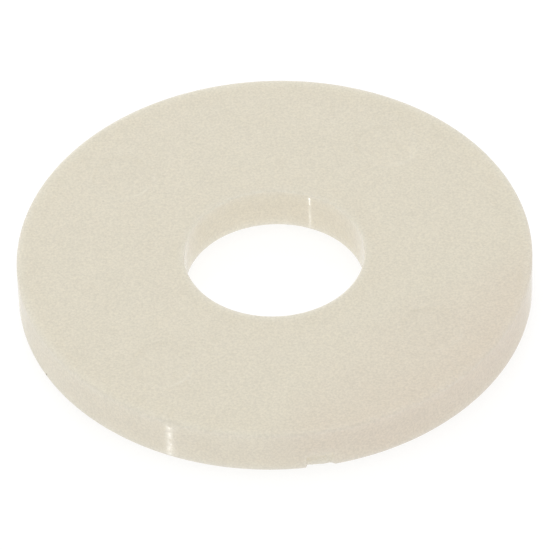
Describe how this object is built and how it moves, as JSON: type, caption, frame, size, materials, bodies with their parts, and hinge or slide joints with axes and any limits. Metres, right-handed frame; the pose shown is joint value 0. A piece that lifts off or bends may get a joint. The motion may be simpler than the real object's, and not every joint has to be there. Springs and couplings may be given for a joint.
{
  "type": "flat washer",
  "caption": "Wide flat ring washer moulded in natural off-white nylon, with faint ejector marks on one face and a small gate scar on the rim.",
  "frame": {"origin": "centre of the lower face, on the bore axis", "axes": "+Z along the bore axis, from the plain lower face towards the face with the ejector marks; -Y is the side of the rim with the gate scar"},
  "size_m": [0.024, 0.024, 0.0022],
  "materials": {
    "natural_nylon": "satin as-moulded natural nylon, off-white and slightly translucent"
  },
  "bodies": {
    "root": {"washer": "natural_nylon"}
  },
  "joints": []
}
